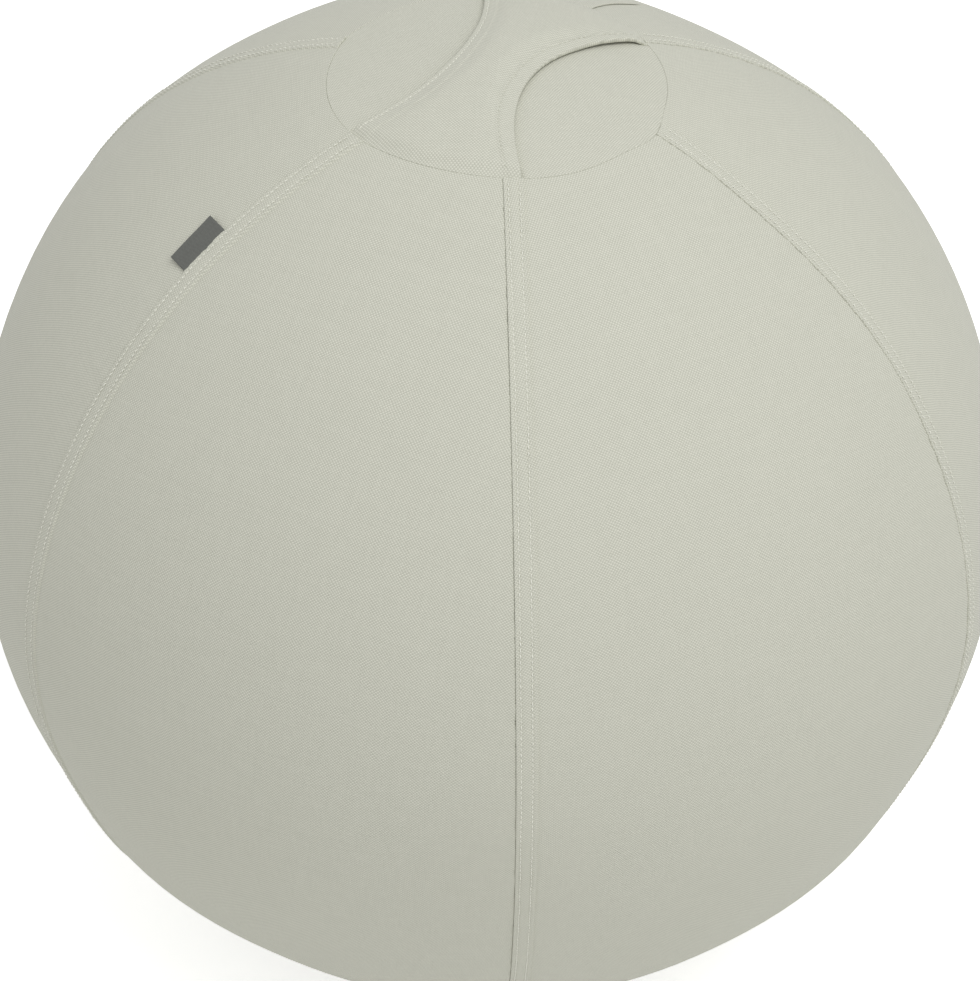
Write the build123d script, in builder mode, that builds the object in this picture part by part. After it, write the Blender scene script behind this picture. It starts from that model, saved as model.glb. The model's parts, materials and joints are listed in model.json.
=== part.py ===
from build123d import *
import os
from math import asin, cos, degrees, radians, sin, sqrt

# A sitting ball: an inflated inner ball in a sewn cloth cover with a carrying handle.
# Millimetres, +Z up, origin on the floor under the ball's centre, front seam towards -Y.

# Cover: panels sewn into a ball that stands on a flat patch
panel_count = 6
front_seam_angle = -90.0
ball_radius = 323.0  # outside, along the middle of a panel
panel_flatness = 36.0  # a panel's round from seam to seam is larger than the ball by this
cloth = 1.2
floor_patch_radius = 75.0
top_panel_radius = 100.0
top_panel_flattening = 5.0  # how far its middle lies below the ball's round
base_opening_radius = 126.0
seam_lap_width = 13.5
seam_lap_rise = 1.0
sewing_gap = 0.2  # between the edges of two pieces that stitches hold together
cutting_allowance = 20.0  # what a panel is made too wide before its seams trim it

# Carrying handle: an hourglass strip across the top panel
handle_angle = 60.0  # direction of the strip, seen from above
handle_cloth = 2.4
handle_waist = 52.0
handle_gap = 7.0  # room for fingers at the middle
grip_length = 90.0

# Woven tab in the left seam
tab_seam = 5  # seams are counted from the front one, anticlockwise from above
tab_polar_angle = 37.1  # from the top of the ball to the middle of the tab
tab_length = 33.0
tab_width = 16.0
tab_thickness = 0.8
tab_clearance = 0.3

# Inner ball and its valve
bladder_wall = 1.2
bladder_clearance = 0.8
valve_polar_angle = 32.0  # from the underside
valve_direction = 90.0
valve_flange_radius = 16.0
valve_flange_thickness = 2.0
valve_tube_radius = 7.5
valve_tube_length = 14.0
plug_head_radius = 9.0
plug_head_thickness = 1.2
plug_stem_radius = 4.4
plug_stem_length = 13.0
plug_tip_chamfer = 1.0
valve_fit = 0.1

# Ring zip round the base panel
zip_tape_width = 11.0
zip_tape_thickness = 0.8
zip_sewn_arc = 60.0  # where the base panel is sewn on and no zip runs
zip_sewn_direction = 90.0
teeth_width = 2.0
teeth_height = 2.2
teeth_gap = 1.2  # between the two rows
stop_length = 2.5
stop_overhang = 0.3

# Zip slider and pull
slider_length = 13.0
slider_width = 9.2
slider_plate = 1.5
slider_clearance = 0.35
slider_post_width = 0.7
slider_post_length = 5.0
slider_corner = 2.0
slider_end_play = 0.6
lug_thickness = 1.2
lug_length = 3.0
bridge_radius = 0.8
bridge_height = 2.6  # from the slider's outer face to the bridge's axis
pull_eye_clearance = 0.25
pull_eye_radius = 1.9
pull_side_play = 0.2
pull_neck_length = 4.0
pull_length = 26.0
pull_width = 8.0
pull_thickness = 1.6
pull_corner = 2.5

# Anti-roll weight in the base
zip_headroom = 2.0  # between the slider and the bladder
pouch_cloth = 1.0
pouch_flat_radius = 70.0
pouch_bulge = 8.0
lining_cloth = 0.8
lining_margin = 5.0  # from the lining's rim to the zip tape
packing_gap = 0.15

# Derived places
seam_pitch = 360.0 / panel_count
crown_radius = ball_radius + panel_flatness
centre_height = sqrt(ball_radius**2 - floor_patch_radius**2)
centre = Vector(0, 0, centre_height)
bladder_radius = ball_radius - cloth - bladder_clearance
rim_height = centre_height + sqrt(ball_radius**2 - top_panel_radius**2)
top_sag = centre_height + ball_radius - top_panel_flattening - rim_height
top_round = (top_panel_radius**2 + top_sag**2) / (2 * top_sag)
top_centre = Vector(0, 0, rim_height + top_sag - top_round)


def skin_height(radius, depth=0.0):
    """Height of the ball's underside at a horizontal radius, at a depth below its outside."""
    return centre_height - sqrt((ball_radius - depth) ** 2 - radius**2)


def upright_plane(angle, offset=0.0):
    """A plane through the ball's axis, facing anticlockwise, or moved that way by an offset."""
    facing = Vector(-sin(radians(angle)), cos(radians(angle)), 0)
    return Plane(origin=facing * offset, z_dir=facing)


def export(builder, name):
    """Label a finished piece and write it under its node's name."""
    builder.part.label = name
    export_step(builder.part, f"parts/{name}.step")


# Cover panels: a barrel-shaped skin, trimmed to two seams and to the top and base openings.
# The panel's clockwise edge laps over its neighbour and stands proud.
panel_plane = Plane(origin=centre, x_dir=(0, 1, 0), z_dir=(1, 0, 0))
panel_axis = Axis(centre, (0, 1, 0))
panel_reach = (ball_radius + cutting_allowance) * sin(radians(seam_pitch / 2))


def panel_profile(inner_rise, outer_rise):
    """A panel's section from edge to edge, between two rises above the cover's outside.

    Each round is drawn from the panel's middle to its edge, as an ellipse of equal radii: a circle
    whose centre lies beyond the axis that it turns about would sweep a torus that crosses itself."""
    with BuildSketch(panel_plane) as section:
        with BuildLine():
            ends = []
            for rise in (outer_rise, inner_rise):
                section_round = crown_radius + rise
                spread = degrees(asin(panel_reach / section_round))
                for turn in (-spread, spread):
                    half = EllipticalCenterArc(
                        (0, -panel_flatness), section_round, section_round, 90, arc_size=turn
                    )
                    ends.append(half @ 1)
            Line(ends[0], ends[2])
            Line(ends[1], ends[3])
        make_face()
    return section.sketch


with BuildPart() as beside_lap:
    revolve(panel_profile(0, 2 * seam_lap_rise), axis=panel_axis, revolution_arc=180)
    split(bisect_by=upright_plane(-seam_pitch / 2, seam_lap_width), keep=Keep.TOP)

with BuildPart() as panel:
    revolve(panel_profile(-cloth, seam_lap_rise), axis=panel_axis, revolution_arc=180)
    split(bisect_by=upright_plane(seam_pitch / 2), keep=Keep.BOTTOM)
    split(bisect_by=upright_plane(-seam_pitch / 2), keep=Keep.TOP)
    add(beside_lap.part, mode=Mode.SUBTRACT)
    with BuildSketch(Plane(centre)):
        Circle(top_panel_radius)
    extrude(amount=crown_radius, mode=Mode.SUBTRACT)
    with BuildSketch(Plane(centre)):
        Circle(base_opening_radius)
    extrude(amount=-crown_radius, mode=Mode.SUBTRACT)

for number in range(panel_count):
    middle_angle = front_seam_angle + (number + 0.5) * seam_pitch
    with BuildPart() as placed_panel:
        add(panel.part.rotate(Axis.Z, middle_angle))
    export(placed_panel, f"cover_panel_{number + 1}")

# Top panel: a cap inside the panels' upper ends, flatter than the ball
top_edge = top_panel_radius - sewing_gap
with BuildPart() as top_panel:
    with BuildSketch(Plane(centre)):
        Circle(top_edge)
    extrude(amount=crown_radius)
    with Locations(top_centre):
        Sphere(top_round, mode=Mode.INTERSECT)
        Sphere(top_round - cloth, mode=Mode.SUBTRACT)
export(top_panel, "top_panel")

# Handle: part of a rounder cap that springs from the top panel's rim
handle_rise = top_sag + handle_gap
handle_radius = (top_panel_radius**2 + handle_rise**2) / (2 * handle_rise)
handle_centre = Vector(0, 0, rim_height + handle_rise - handle_radius + sewing_gap)
handle_plane = Plane(centre, x_dir=(cos(radians(handle_angle)), sin(radians(handle_angle)), 0))
handle_end_along = top_edge * cos(radians(seam_pitch / 2))
handle_end_across = top_edge * sin(radians(seam_pitch / 2))

with BuildPart() as handle:
    with BuildSketch(handle_plane):
        with BuildLine():
            front_right = (-handle_end_along, -handle_end_across)
            front_left = (-handle_end_along, handle_end_across)
            back_right = (handle_end_along, -handle_end_across)
            back_left = (handle_end_along, handle_end_across)
            ThreePointArc(front_right, (0, -handle_waist / 2), back_right)
            ThreePointArc(back_right, (top_edge, 0), back_left)
            ThreePointArc(back_left, (0, handle_waist / 2), front_left)
            ThreePointArc(front_left, (-top_edge, 0), front_right)
        make_face()
    extrude(amount=crown_radius)
    with Locations(handle_centre):
        Sphere(handle_radius + handle_cloth, mode=Mode.INTERSECT)
        Sphere(handle_radius, mode=Mode.SUBTRACT)

grip_back = Plane(handle_plane.origin + handle_plane.x_dir * grip_length / 2, z_dir=handle_plane.x_dir)
grip_front = Plane(handle_plane.origin - handle_plane.x_dir * grip_length / 2, z_dir=handle_plane.x_dir)

with BuildPart() as handle_grip:
    add(handle.part)
    split(bisect_by=grip_back, keep=Keep.BOTTOM)
    split(bisect_by=grip_front, keep=Keep.TOP)
export(handle_grip, "handle_grip")

with BuildPart() as handle_back_end:
    add(handle.part)
    split(bisect_by=grip_back, keep=Keep.TOP)
export(handle_back_end, "handle_back_end")

with BuildPart() as handle_front_end:
    add(handle.part)
    split(bisect_by=grip_front, keep=Keep.BOTTOM)
export(handle_front_end, "handle_front_end")

# Side tab: lies on the panel clockwise of its seam, square to that panel's own surface
tab_seam_angle = radians(front_seam_angle + tab_seam * seam_pitch)
tab_polar = radians(tab_polar_angle)
half_pitch = radians(seam_pitch / 2)
seam_lean = sqrt(1 - (sin(tab_polar) * sin(half_pitch)) ** 2)
seam_radius = sqrt(crown_radius**2 - panel_flatness**2 * (1 - seam_lean**2)) - panel_flatness * seam_lean
seam_side = Vector(cos(tab_seam_angle), sin(tab_seam_angle), 0)
outward = seam_side * sin(tab_polar) + Vector(0, 0, cos(tab_polar))
down_seam = seam_side * cos(tab_polar) - Vector(0, 0, sin(tab_polar))
tab_panel_angle = tab_seam_angle - half_pitch
across_panel = Vector(-sin(tab_panel_angle), cos(tab_panel_angle), 0)
seam_point = outward * seam_radius
in_panel_round = seam_point - across_panel * seam_point.dot(across_panel)
panel_normal = (seam_point + in_panel_round.normalized() * panel_flatness).normalized()
tab_plane = Plane(centre + seam_point, x_dir=down_seam, z_dir=panel_normal)

with BuildPart() as side_tab:
    with BuildSketch(tab_plane.offset(tab_clearance)):
        with Locations((0, -tab_clearance - tab_width / 2)):
            Rectangle(tab_length, tab_width)
    extrude(amount=tab_thickness)
export(side_tab, "side_tab")
tab_hinge = tab_plane.from_local_coords((0, -tab_clearance, tab_clearance + tab_thickness))

# Ring zip: every section is drawn across the zip, outwards from the ball along the sketch's Y
zip_radius = base_opening_radius - zip_tape_width
zip_slope = asin(zip_radius / ball_radius)
zip_height = skin_height(zip_radius)
zip_start = zip_sewn_direction + zip_sewn_arc / 2
zip_arc = 360.0 - zip_sewn_arc
base_edge_radius = zip_radius - zip_tape_width
tape_middle = -cloth / 2
stop_arc = degrees(stop_length / zip_radius)
teeth_near = teeth_gap / 2
teeth_far = teeth_near + teeth_width


def zip_plane(angle):
    """A plane across the zip: X up the ball's side, Y outwards, Z anticlockwise along the zip."""
    turn = radians(angle)
    ahead = Vector(-sin(turn), cos(turn), 0)
    side = Vector(cos(turn), sin(turn), 0)
    place = side * zip_radius + Vector(0, 0, zip_height)
    up_side = side * cos(zip_slope) + Vector(0, 0, sin(zip_slope))
    return Plane(place, x_dir=up_side, z_dir=ahead)


def zip_section(start, side, near, far, height):
    """Section of a strip on the zip's upper (1) or lower (-1) side, centred in the cloth's depth."""
    with BuildSketch(zip_plane(start)) as section:
        with Locations((side * (near + far) / 2, tape_middle)):
            Rectangle(far - near, height)
    return section.sketch


tape_reach = 2 * zip_tape_width
teeth_start = zip_start + stop_arc
teeth_arc = zip_arc - 2 * stop_arc

with BuildPart() as zip_tape_upper:
    upper_tape = zip_section(zip_start, 1, teeth_far + sewing_gap, tape_reach, zip_tape_thickness)
    revolve(upper_tape, axis=Axis.Z, revolution_arc=zip_arc)
    with BuildSketch():
        Circle(base_opening_radius - sewing_gap)
    extrude(amount=centre_height, mode=Mode.INTERSECT)
export(zip_tape_upper, "zip_tape_upper")

with BuildPart() as zip_tape_lower:
    lower_tape = zip_section(zip_start, -1, teeth_far + sewing_gap, tape_reach, zip_tape_thickness)
    revolve(lower_tape, axis=Axis.Z, revolution_arc=zip_arc)
    with BuildSketch():
        Circle(base_edge_radius + sewing_gap)
    extrude(amount=centre_height, mode=Mode.SUBTRACT)
export(zip_tape_lower, "zip_tape_lower")

with BuildPart() as zip_teeth_upper:
    upper_row = zip_section(teeth_start, 1, teeth_near, teeth_far, teeth_height)
    revolve(upper_row, axis=Axis.Z, revolution_arc=teeth_arc)
export(zip_teeth_upper, "zip_teeth_upper")

with BuildPart() as zip_teeth_lower:
    lower_row = zip_section(teeth_start, -1, teeth_near, teeth_far, teeth_height)
    revolve(lower_row, axis=Axis.Z, revolution_arc=teeth_arc)
export(zip_teeth_lower, "zip_teeth_lower")

with BuildPart() as zip_stops:
    for start in (zip_start, teeth_start + teeth_arc):
        for side in (1, -1):
            stop = zip_section(start, side, teeth_near, teeth_far, teeth_height + 2 * stop_overhang)
            revolve(stop, axis=Axis.Z, revolution_arc=stop_arc)
export(zip_stops, "zip_stops")

# Zip slider: two plates joined by a post that runs between the rows of teeth
slider_half_arc = degrees((slider_length / 2 + slider_end_play) / zip_radius)
slider_angle = zip_start + zip_arc - stop_arc - slider_half_arc
slider_plane = zip_plane(slider_angle)
slider_travel = zip_arc - 2 * stop_arc - 2 * slider_half_arc
channel_half = teeth_height / 2 + slider_clearance
outer_face = tape_middle + channel_half + slider_plate
bridge_axis_height = outer_face + bridge_height
inner_depth = channel_half + slider_plate - tape_middle
lug_middle = slider_width / 2 - lug_thickness

# Facing outwards from the slider: X along the zip, Y up the ball's side
slider_face = Plane(slider_plane.origin, x_dir=slider_plane.z_dir, z_dir=slider_plane.y_dir)

with BuildPart() as zip_slider:
    for low in (tape_middle + channel_half, tape_middle - channel_half - slider_plate):
        with BuildSketch(slider_face.offset(low)):
            RectangleRounded(slider_length, slider_width, slider_corner)
        extrude(amount=slider_plate)
    with BuildSketch(slider_face.offset(tape_middle)):
        with Locations((slider_length / 2 - slider_post_length / 2, 0)):
            Rectangle(slider_post_length, slider_post_width)
    extrude(amount=channel_half, both=True)
    with BuildSketch(slider_face.offset(outer_face)):
        with Locations((0, lug_middle), (0, -lug_middle)):
            Rectangle(lug_length, lug_thickness)
    extrude(amount=bridge_height + bridge_radius)
    with BuildSketch(Plane(slider_plane.origin, x_dir=slider_plane.z_dir, z_dir=slider_plane.x_dir)):
        with Locations((0, -bridge_axis_height)):
            Circle(bridge_radius)
    extrude(amount=lug_middle, both=True)
export(zip_slider, "zip_slider")

# Zip pull: an eye round the bridge, a neck between the lugs and a tab that lies along the closed zip
eye_width = 2 * lug_middle - lug_thickness - 2 * pull_side_play
pull_plane = slider_face.offset(bridge_axis_height)
eye_plane = Plane(pull_plane.origin, x_dir=slider_plane.z_dir, z_dir=slider_plane.x_dir)
with BuildPart() as zip_pull:
    with BuildSketch(eye_plane):
        Circle(pull_eye_radius)
    extrude(amount=eye_width / 2, both=True)
    with BuildSketch(pull_plane):
        with Locations((-pull_neck_length / 2, 0)):
            Rectangle(pull_neck_length, eye_width)
    extrude(amount=pull_thickness / 2, both=True)
    with BuildSketch(pull_plane):
        with Locations((-pull_neck_length - (pull_length - pull_neck_length) / 2, 0)):
            RectangleRounded(pull_length - pull_neck_length, pull_width, pull_corner)
    extrude(amount=pull_thickness / 2, both=True)
    with BuildSketch(eye_plane):
        Circle(bridge_radius + pull_eye_clearance)
    extrude(amount=eye_width, both=True, mode=Mode.SUBTRACT)
export(zip_pull, "zip_pull")

# Base panel: the flat patch, the skin up to the zip, and the sewn stretch where no zip runs
with BuildPart() as base_panel:
    with BuildSketch(Plane.XY):
        Circle(base_edge_radius)
    extrude(amount=centre_height)
    with BuildSketch(zip_plane(zip_start + zip_arc)):
        with Locations((0, tape_middle)):
            Rectangle(2 * tape_reach, 2 * tape_reach)
    revolve(axis=Axis.Z, revolution_arc=zip_sewn_arc)
    with BuildSketch(Plane.XY):
        Circle(base_opening_radius - sewing_gap)
    extrude(amount=centre_height, mode=Mode.INTERSECT)
    with Locations(centre):
        Sphere(ball_radius, mode=Mode.INTERSECT)
    with BuildSketch(Plane.XZ):
        with BuildLine():
            patch_edge = (sqrt((ball_radius - cloth) ** 2 - (centre_height - cloth) ** 2), cloth)
            rim = (base_opening_radius, skin_height(base_opening_radius, cloth))
            Polyline(patch_edge, (0, cloth), (0, centre_height), (base_opening_radius, centre_height), rim)
            RadiusArc(rim, patch_edge, ball_radius - cloth)
        make_face()
    revolve(axis=Axis.Z, mode=Mode.SUBTRACT)
export(base_panel, "base_panel")

# Bladder: an inflated ball, flattened under the top panel and where it sits on the base
slider_top = zip_height + slider_width / 2 * sin(zip_slope) + inner_depth * cos(zip_slope)
bladder_seat = slider_top + zip_headroom
valve_turn = radians(valve_direction)
valve_tilt = radians(valve_polar_angle)
valve_side = Vector(cos(valve_turn), sin(valve_turn), 0)
valve_axis = valve_side * sin(valve_tilt) - Vector(0, 0, cos(valve_tilt))
valve_depth = sqrt(bladder_radius**2 - valve_flange_radius**2)
valve_plane = Plane(centre + valve_axis * valve_depth, z_dir=valve_axis)

bladder_top_round = top_round - cloth - bladder_clearance

with BuildPart() as air:
    with Locations(centre):
        Sphere(bladder_radius - bladder_wall)
    with Locations(top_centre):
        Sphere(bladder_top_round - bladder_wall, mode=Mode.INTERSECT)
    split(bisect_by=Plane.XY.offset(bladder_seat + bladder_wall), keep=Keep.TOP)

with BuildPart() as bladder:
    with Locations(centre):
        Sphere(bladder_radius)
    with Locations(top_centre):
        Sphere(bladder_top_round, mode=Mode.INTERSECT)
    split(bisect_by=Plane.XY.offset(bladder_seat), keep=Keep.TOP)
    add(air.part, mode=Mode.SUBTRACT)
    with BuildSketch(valve_plane):
        Circle(valve_flange_radius + valve_fit)
    extrude(amount=valve_tube_length, both=True, mode=Mode.SUBTRACT)
export(bladder, "bladder")

# Valve seat: a moulded flange let into the bladder's wall, with a tube that holds the plug
with BuildPart() as valve_seat:
    with BuildSketch(valve_plane):
        Circle(valve_flange_radius)
    extrude(amount=-valve_flange_thickness)
    with BuildSketch(valve_plane):
        Circle(valve_tube_radius)
    extrude(amount=-valve_tube_length)
    with BuildSketch(valve_plane):
        Circle(plug_head_radius + valve_fit)
    extrude(amount=-plug_head_thickness, mode=Mode.SUBTRACT)
    with BuildSketch(valve_plane):
        Circle(plug_stem_radius + valve_fit)
    extrude(amount=-valve_tube_length, mode=Mode.SUBTRACT)
export(valve_seat, "valve_seat")

# Valve plug: a flush head on a stem with a chamfered tip
with BuildPart() as valve_plug:
    with BuildSketch(valve_plane):
        Circle(plug_head_radius)
    extrude(amount=-plug_head_thickness)
    with BuildSketch(valve_plane):
        Circle(plug_stem_radius)
    extrude(amount=-plug_stem_length)
    stem_tip = valve_plug.faces().sort_by(Axis(valve_plane.origin, valve_axis))[0]
    chamfer(stem_tip.edges(), length=plug_tip_chamfer)
export(valve_plug, "valve_plug")

# Weight pouch: a flat puck with bulging sides, under a lining that is sewn to the base panel
pouch_bottom = cloth + packing_gap
lining_top = bladder_seat - packing_gap
pouch_top = lining_top - lining_cloth - packing_gap


def puck_profile(inset):
    """Half of the pouch's section, inset all round by a wall."""
    low = pouch_bottom + inset
    high = pouch_top - inset
    with BuildSketch(Plane.XZ) as section:
        with BuildLine():
            widest = pouch_flat_radius + pouch_bulge - inset
            ThreePointArc((pouch_flat_radius, low), (widest, (low + high) / 2), (pouch_flat_radius, high))
            Polyline((pouch_flat_radius, high), (0, high), (0, low), (pouch_flat_radius, low))
        make_face()
    return section.sketch


with BuildPart() as weight_pouch:
    revolve(puck_profile(0), axis=Axis.Z)
    revolve(puck_profile(pouch_cloth), axis=Axis.Z, mode=Mode.SUBTRACT)
export(weight_pouch, "weight_pouch")

with BuildPart() as weight_fill:
    revolve(puck_profile(pouch_cloth + packing_gap), axis=Axis.Z)
export(weight_fill, "weight_fill")

# Pocket lining: flat over the pouch, then down to the base panel outside it
lining_rim_radius = base_edge_radius - lining_margin
lining_rim_low = skin_height(lining_rim_radius, cloth) + packing_gap
lining_shoulder = pouch_flat_radius + pouch_bulge

with BuildPart() as pocket_lining:
    with BuildSketch(Plane.XZ):
        with BuildLine():
            Polyline(
                (0, lining_top - lining_cloth),
                (lining_shoulder, lining_top - lining_cloth),
                (lining_rim_radius, lining_rim_low),
                (lining_rim_radius, lining_rim_low + lining_cloth),
                (lining_shoulder + lining_cloth, lining_top),
                (0, lining_top),
                close=True,
            )
        make_face()
    revolve(axis=Axis.Z)
export(pocket_lining, "pocket_lining")

handle_underside = handle_centre.Z + handle_radius
print(f"top of the handle {handle_underside + handle_cloth:.1f}, its underside {handle_underside:.2f}")
print(f"top of the top panel {rim_height + top_sag:.2f}, bladder seat {bladder_seat:.2f}")
print(f"slider at {slider_angle:.2f} degrees, travel {slider_travel:.2f} degrees")
print(f"tab hinge at {tab_hinge}, along {tab_plane.x_dir}")
print(f"pull bridge at {pull_plane.origin}, along {slider_plane.x_dir}")
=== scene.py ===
import json
import math

import bmesh
import bpy
import numpy as np
from mathutils import Matrix, Vector


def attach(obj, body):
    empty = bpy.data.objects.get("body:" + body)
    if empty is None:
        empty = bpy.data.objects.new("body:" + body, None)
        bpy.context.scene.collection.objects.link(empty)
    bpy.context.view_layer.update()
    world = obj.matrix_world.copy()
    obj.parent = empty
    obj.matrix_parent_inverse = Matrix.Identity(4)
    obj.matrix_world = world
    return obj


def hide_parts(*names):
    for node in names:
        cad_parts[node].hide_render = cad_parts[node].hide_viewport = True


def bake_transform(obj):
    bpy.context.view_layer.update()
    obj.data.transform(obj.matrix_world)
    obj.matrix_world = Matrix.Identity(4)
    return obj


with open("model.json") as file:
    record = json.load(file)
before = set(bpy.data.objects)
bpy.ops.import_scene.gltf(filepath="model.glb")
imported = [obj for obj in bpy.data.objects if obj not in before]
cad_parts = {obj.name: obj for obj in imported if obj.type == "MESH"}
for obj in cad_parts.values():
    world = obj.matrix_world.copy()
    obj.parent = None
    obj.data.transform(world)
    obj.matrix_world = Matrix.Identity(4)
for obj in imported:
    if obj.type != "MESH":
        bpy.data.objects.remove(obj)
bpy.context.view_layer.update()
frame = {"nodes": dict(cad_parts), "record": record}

MM = 0.001

# The ball's cover, in metres, as in the frame
PANELS = 6
FRONT_SEAM = -90.0
BALL_RADIUS = 323 * MM
PANEL_FLATNESS = 36 * MM
LOW_ROUNDING = 40 * MM
LOW_BULGE = 4.5 * MM
CLOTH = 1.2 * MM
FLOOR_PATCH = 75 * MM
TOP_RADIUS = 100 * MM
TOP_FLATTENING = 5 * MM
BASE_OPENING = 126 * MM
SEWING_GAP = 0.2 * MM
CENTRE = Vector((0, 0, math.sqrt(BALL_RADIUS**2 - FLOOR_PATCH**2)))
CROWN = BALL_RADIUS + PANEL_FLATNESS
HALF_PANEL = math.pi / PANELS

# Seams: a folded edge that carries the lap, two rows of stitches and a plain edge beside it
LAP_WIDTH = 11.9 * MM
LAP_RISES = np.array([0.85, 0.6, 0.75, 1.0, 0.9, 0.9]) * MM
EDGE_ROUND = 0.5 * MM
SEAM_ROUNDS = np.array([0.44, 0.34, 0.36, 0.4, 0.36, 0.36]) * MM
RIM_ROUND = 0.22 * MM
EDGE_DEPTH = 1.9 * MM
TURNED_IN = 1.0 * MM
EDGE_BEAD, EDGE_BEAD_WIDTH = 0.7 * MM, 6 * MM
STITCH_ROWS = (2.8 * MM, 9.3 * MM)
STITCH_PITCH = 3.55 * MM
STITCH_LENGTH = 2.5 * MM
STITCH_ENDS = (0.5 * (STITCH_PITCH - STITCH_LENGTH), 0.5 * (STITCH_PITCH + STITCH_LENGTH))
THREAD_RADIUS = 0.34 * MM
GROOVE_DEPTH = 0.22 * MM
GROOVE_WIDTH = 0.9 * MM
HOLE_DEPTH = 0.2 * MM
YARN = 1.01 * MM

# How unevenly the cover is sewn; directions and widths of places are in degrees
SLACK = 2.5 * MM
SLACK_DIRECTION, SLACK_WIDTH = 42, 22
SLACK_POLAR, SLACK_LENGTH = 34, 13
SEAM_RIPPLE, BROAD_RIPPLE = 0.30 * MM, 0.35 * MM
TUG_PITCH = 5.1 * MM
THREAD_TUG, KNOT_TUG = 0.42 * MM, 0.55 * MM
RIM_PULL, RIM_PULL_DIRECTION, RIM_PULL_WIDTH = 4.2 * MM, -112, 50
RIM_PUSHES, RIM_PUSH_WIDTH = ((4.0 * MM, -31), (1.6 * MM, 150)), 10
RIM_PUCKER = 0.25 * MM
HELD_DOWN = 2.0 * MM

# The handle: a strip with folded hems, sewn into the top seam at both ends
HANDLE_ANGLE = 60.0
HANDLE_CLOTH = 2.4 * MM
HANDLE_GAP = 7 * MM
HEM_FOLD = 1.6 * MM
LEFT_HEM_ROW = 3.2 * MM
RIGHT_HEM_ROW, RIGHT_HEM_FLARE = 7.4 * MM, 3.2 * MM
HEM_DROP = 4.6 * MM
RIGHT_GAP, RAISED_GAP = 0.9 * MM, 1.9 * MM
HEM_DROP_WIDTH = 20 * MM
END_CLOTH = 1.6 * MM
FRONT_END_TOP, BACK_END_TOP = -0.2 * MM, 0.9 * MM
END_DIP_LENGTH = 9 * MM
FOLD_RISE = 0.55 * MM
# Each long edge: half the waist's width, its place, and the rounds to the front and to the back
RIGHT_BOW = (22.9 * MM, 3.5 * MM, 98 * MM, 84 * MM)
LEFT_BOW = (25.3 * MM, -8 * MM, 125 * MM, 150 * MM)

# The base: a ring zip between the cover and a round base panel, sewn shut on one side
ZIP_RADIUS = 115 * MM
ZIP_FIRST, ZIP_LAST = 120.0, 420.0
ZIP_DEPTH = 0.6 * MM
TAPE_NEAR = 2.8 * MM
TAPE_CLOTH = 0.8 * MM
TAPE_GAP = 0.2 * MM
TAPE_HALF = 0.32 * MM
ZIP_STOP = 3.2 * MM
TOOTH_PITCH = 2.6 * MM
TOOTH_WIDTH = 1.2 * MM
TOOTH_HEIGHT = 2.2 * MM
TOOTH_BEVEL = 0.35 * MM
BASE_EDGE = 104 * MM
BASE_ROW = 3 * MM
POCKET_ROW = 96.5 * MM
TONGUE_EDGE = BASE_OPENING - SEWING_GAP

# Inside: the bladder and its valve's place, the pouch, and the lining that holds it
BLADDER_RADIUS = 321 * MM
BLADDER_WALL = 1.2 * MM
BLADDER_SEAT = 19.29 * MM
BLADDER_TOP_DIP = 3 * MM
BLADDER_ROOM, BLADDER_TOP_ROOM = 0.3 * MM, 1.2 * MM
VALVE_POLAR = 32.0
VALVE_DIRECTION = 90.0
VALVE_HOLE = 16.3 * MM
POUCH_LOW, POUCH_HIGH = 1.35 * MM, 18.19 * MM
POUCH_FLAT, POUCH_BULGE = 70 * MM, 8 * MM
LINING_TOP = 19.14 * MM
LINING_CLOTH = 0.8 * MM
LINING_SHOULDER = 76 * MM
LINING_RIM = 99 * MM
LINING_RIM_TOP = 8.93 * MM
GATHERS, GATHER_RISE = 40, 0.35 * MM

# The side tab: a ribbon folded in two, with its ends in a seam
TAB_HINGE = np.array([-170.2485, -97.9119, 573.8764]) * MM
TAB_DOWN = np.array([-0.69745, -0.40227, -0.59307])
TAB_NORMAL = np.array([-0.52715, -0.27263, 0.80485])
TAB_LENGTH = 33 * MM
TAB_WIDTH = 16 * MM
TAB_PLY = 0.36 * MM
TAB_GAP = 0.04 * MM
TAB_STAND_OFF, TAB_CORNER = 1.8 * MM, 0.5 * MM
TAB_SWAY = 0.12 * MM
TAB_SUNK = 1.0 * MM

# The weave's turn and part number on the pieces that lie nearly level
TOP_WEAVE = (104.0, 7.0)
HANDLE_WEAVE = (80.0, 8.0)
BASE_WEAVE = (90.0, 10.0)
LINING_WEAVE = (90.0, 13.0)


def smooth_step(low, high, x):
    t = np.clip((x - low) / (high - low), 0, 1)
    return t * t * (3 - 2 * t)


def bell(x, middle, width):
    return np.exp(-(((x - middle) / width) ** 2))


def degrees_off(turn, direction):
    """How far directions in radians lie from one in degrees: from -180 to 180 degrees."""
    return (np.degrees(turn) - direction + 180) % 360 - 180


def graded(*zones):
    """Positions through zones of (start, end, step), each cut into equal steps."""
    places = [zones[0][0]]
    for start, end, step in zones:
        count = max(1, round((end - start) / step))
        places.extend(start + (end - start) * (k + 1) / count for k in range(count))
    return np.array(places)


def graded_mm(*zones):
    """The same, in metres from zones in millimetres."""
    return graded(*zones) * MM


def every(count, step):
    """Every step-th number below count, and the last one."""
    return np.unique(np.concatenate([np.arange(0, count, step), [count - 1]]))


def unit(vectors):
    return vectors / np.linalg.norm(vectors, axis=-1)[..., None]


def around_axis(r, turn, z):
    """Points from a distance off the upright axis, a direction and a height."""
    return np.stack([r * np.cos(turn), r * np.sin(turn), z], axis=-1)


def inner_depth(distance):
    """How deep the inside of the cover's cloth lies: more by its folded edge."""
    return CLOTH + EDGE_BEAD * (1 - smooth_step(0, EDGE_BEAD_WIDTH, distance))


def stitch_groove(off_row):
    """The share of a stitch row's groove at a distance off the row."""
    return bell(off_row, 0, GROOVE_WIDTH)


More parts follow.
